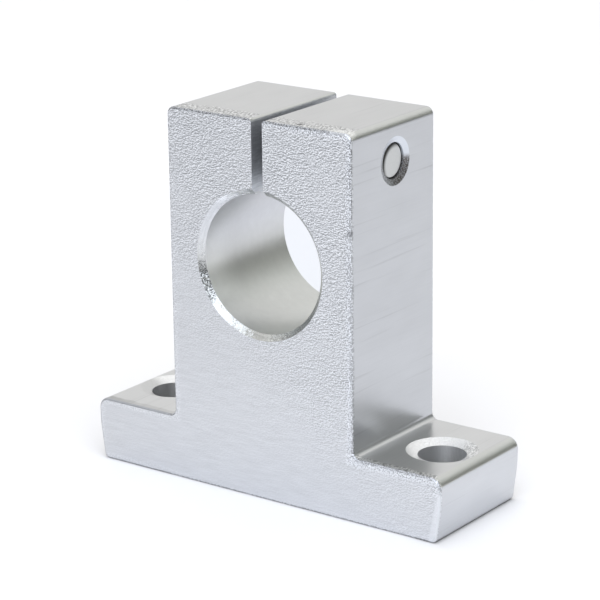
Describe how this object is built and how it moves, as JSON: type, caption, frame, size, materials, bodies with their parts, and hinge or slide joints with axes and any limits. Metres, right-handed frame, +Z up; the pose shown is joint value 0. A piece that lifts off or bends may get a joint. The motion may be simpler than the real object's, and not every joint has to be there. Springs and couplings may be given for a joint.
{
  "type": "shaft support block",
  "caption": "Split aluminium support block that clamps the end of a 16 mm round shaft above a bolted base.",
  "frame": {"origin": "centre of the sole, where the block stands on its mounting surface", "axes": "+X along the base through both mounting holes, towards the ear where the screw's tip shows; +Y along the shaft; +Z up from the sole"},
  "size_m": [0.048, 0.016, 0.044],
  "materials": {
    "extruded_aluminium": "satin along the extrusion, fine blasted grain on the two sawn faces",
    "bright_steel": "bright plated screw"
  },
  "bodies": {
    "block": {"support_block": "extruded_aluminium"},
    "screw": {"clamp_screw": "bright_steel"}
  },
  "joints": [
    {"name": "clamp_screw_turn", "type": "hinge", "parent": "block", "child": "screw", "pos_m": [0, 0.0004, 0.0394], "axis": [1, 0, 0], "continuous": true}
  ]
}
